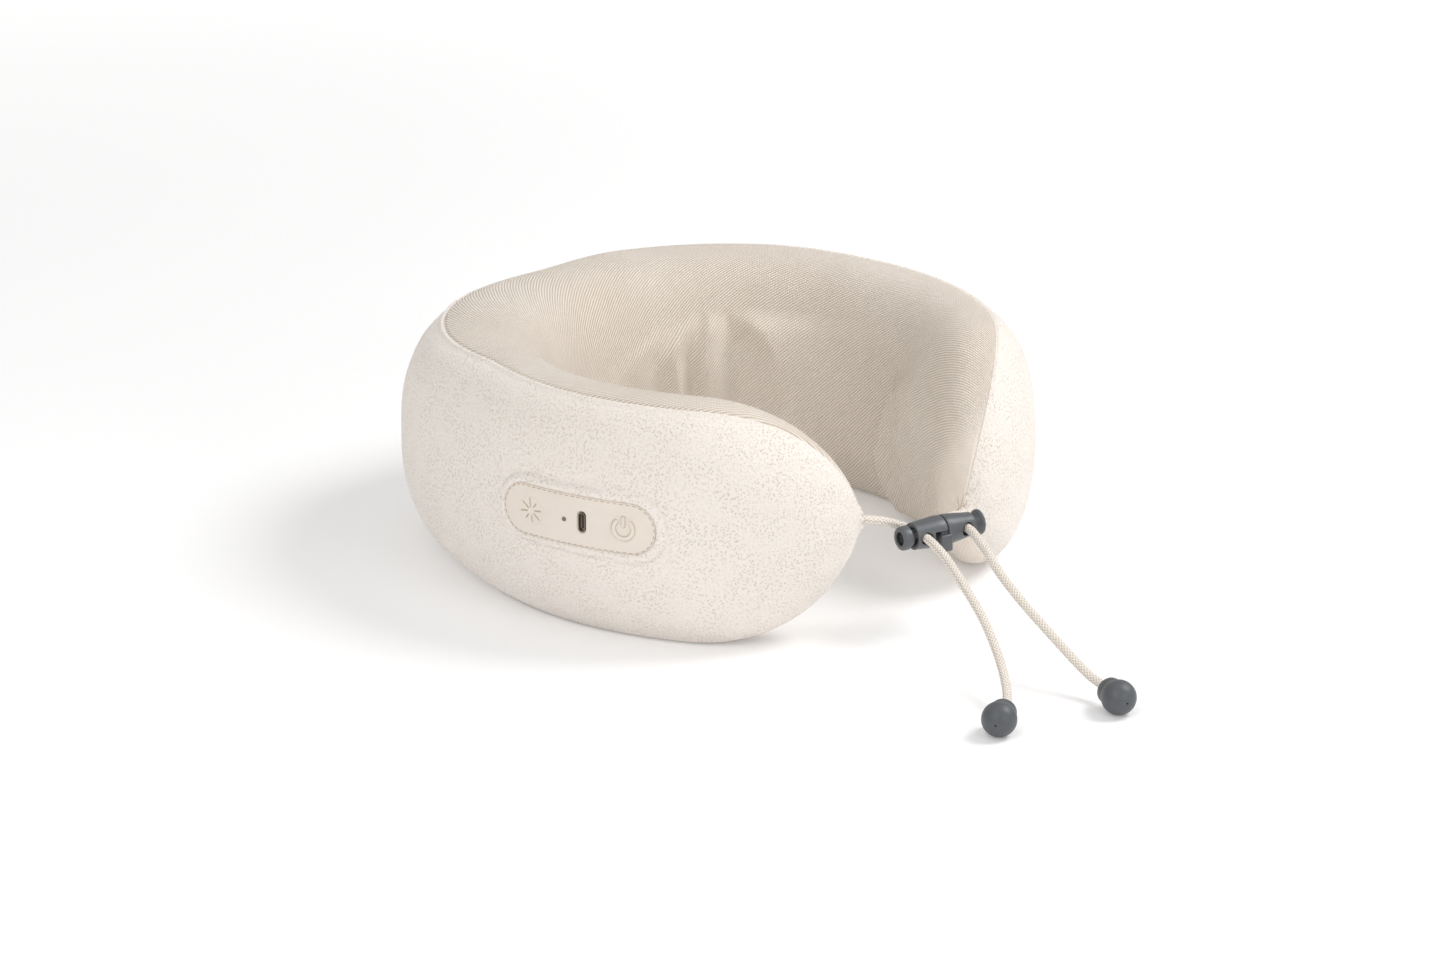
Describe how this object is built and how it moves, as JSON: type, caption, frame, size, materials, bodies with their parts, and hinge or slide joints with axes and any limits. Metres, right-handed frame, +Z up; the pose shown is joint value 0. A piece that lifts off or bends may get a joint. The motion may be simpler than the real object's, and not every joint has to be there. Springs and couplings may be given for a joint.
{
  "type": "neck massager",
  "caption": "U-shaped padded neck massager with kneading heads inside the back, a control panel on one arm and beaded cords joined by a slide-apart cord clip.",
  "frame": {"origin": "on the resting face of the pillow, under the middle of the back", "axes": "+Z up, the neck opening faces -Y, the outside of the back is towards +Y, the control panel is on the -X arm"},
  "size_m": [0.275, 0.4141, 0.111],
  "materials": {
    "fleece": "soft pebbled fleece",
    "twill": "fine beige twill",
    "foam": "slow-recovery foam",
    "cord": "round braided cord",
    "soft_pad": "matte silicone",
    "cream_plastic": "matte",
    "grey_plastic": "satin moulded",
    "black_plastic": "matte",
    "white_plastic": "satin moulded",
    "red_plastic": "matte",
    "diffuser": "frosted",
    "board": "solder mask",
    "wrap": "shrink wrap",
    "film": "matte film",
    "wire_jacket": "matte",
    "node_rubber": "matte silicone",
    "steel": "bright",
    "brass": "machined"
  },
  "bodies": {
    "pillow": {"outer_cover": "fleece", "inner_cover": "twill", "foam_core": "foam", "heater_film": "film", "panel_lead": "wire_jacket", "bridge_lead": "wire_jacket", "panel_pad": "soft_pad", "panel_frame": "cream_plastic", "status_led": "diffuser", "usb_shell": "steel", "usb_tongue": "black_plastic", "control_board": "board", "power_switch": "black_plastic", "heat_switch": "black_plastic", "battery_pack": "wrap", "left_case_rear": "black_plastic", "left_case_front": "black_plastic", "left_motor": "steel", "left_bush_rear": "brass", "left_bush_front": "brass", "right_case_rear": "black_plastic", "right_case_front": "black_plastic", "right_motor": "steel", "right_bush_rear": "brass", "right_bush_front": "brass", "left_barrel": "grey_plastic", "left_spring": "steel", "left_cord": "cord", "left_bead": "grey_plastic", "right_cord_inner": "cord"},
    "left_head": {"left_worm_wheel": "white_plastic", "left_output_shaft": "steel", "left_node_carrier": "grey_plastic", "left_node_a": "node_rubber", "left_node_b": "node_rubber", "left_carrier_screw": "steel"},
    "right_head": {"right_worm_wheel": "white_plastic", "right_output_shaft": "steel", "right_node_carrier": "grey_plastic", "right_node_a": "node_rubber", "right_node_b": "node_rubber", "right_carrier_screw": "steel"},
    "left_worm": {"left_worm": "brass"},
    "right_worm": {"right_worm": "brass"},
    "power_key": {"power_key": "soft_pad"},
    "power_plunger": {"power_plunger": "red_plastic"},
    "heat_key": {"heat_key": "soft_pad"},
    "heat_plunger": {"heat_plunger": "red_plastic"},
    "left_plunger": {"left_plunger": "grey_plastic"},
    "clip_half": {"right_barrel": "grey_plastic", "right_spring": "steel", "right_cord_tail": "cord", "right_bead": "grey_plastic"},
    "right_plunger": {"right_plunger": "grey_plastic"}
  },
  "joints": [
    {"name": "left_head_spin", "type": "hinge", "parent": "pillow", "child": "left_head", "pos_m": [-0.0799, -0.0246, 0.053], "axis": [-0.7071, 0.7071, 0], "continuous": true},
    {"name": "left_worm_spin", "type": "hinge", "parent": "pillow", "child": "left_worm", "pos_m": [-0.0799, -0.0246, 0.07215], "axis": [0.7071, 0.7071, 0], "continuous": true},
    {"name": "right_head_spin", "type": "hinge", "parent": "pillow", "child": "right_head", "pos_m": [0.0799, -0.0246, 0.053], "axis": [0.7071, 0.7071, 0], "continuous": true},
    {"name": "right_worm_spin", "type": "hinge", "parent": "pillow", "child": "right_worm", "pos_m": [0.0799, -0.0246, 0.07215], "axis": [-0.7071, 0.7071, 0], "continuous": true},
    {"name": "power_button_press", "type": "slide", "parent": "pillow", "child": "power_key", "axis": [0.8961, 0.4438, 0], "range_m": [0, 0.0005], "stiffness_N_per_m": 800},
    {"name": "power_switch_travel", "type": "slide", "parent": "pillow", "child": "power_plunger", "axis": [0.8961, 0.4438, 0], "range_m": [0, 0.0005]},
    {"name": "heat_button_press", "type": "slide", "parent": "pillow", "child": "heat_key", "axis": [0.9861, 0.1662, 0], "range_m": [0, 0.0005], "stiffness_N_per_m": 800},
    {"name": "heat_switch_travel", "type": "slide", "parent": "pillow", "child": "heat_plunger", "axis": [0.9861, 0.1662, 0], "range_m": [0, 0.0005]},
    {"name": "left_plunger_press", "type": "slide", "parent": "pillow", "child": "left_plunger", "axis": [0.9781, -0.2079, 0], "range_m": [0, 0.0016], "stiffness_N_per_m": 900, "deforming": ["left_spring"]},
    {"name": "clip_release", "type": "slide", "parent": "pillow", "child": "clip_half", "axis": [-0.2079, -0.9781, 0], "range_m": [0, 0.016]},
    {"name": "right_plunger_press", "type": "slide", "parent": "clip_half", "child": "right_plunger", "axis": [-0.9781, 0.2079, 0], "range_m": [0, 0.0016], "stiffness_N_per_m": 900, "deforming": ["right_spring"]}
  ],
  "couplings": [
    {"joint": "left_worm_spin", "follows": "left_head_spin", "ratio": 30},
    {"joint": "right_worm_spin", "follows": "right_head_spin", "ratio": 30},
    {"joint": "power_switch_travel", "follows": "power_button_press", "ratio": 1},
    {"joint": "heat_switch_travel", "follows": "heat_button_press", "ratio": 1}
  ]
}
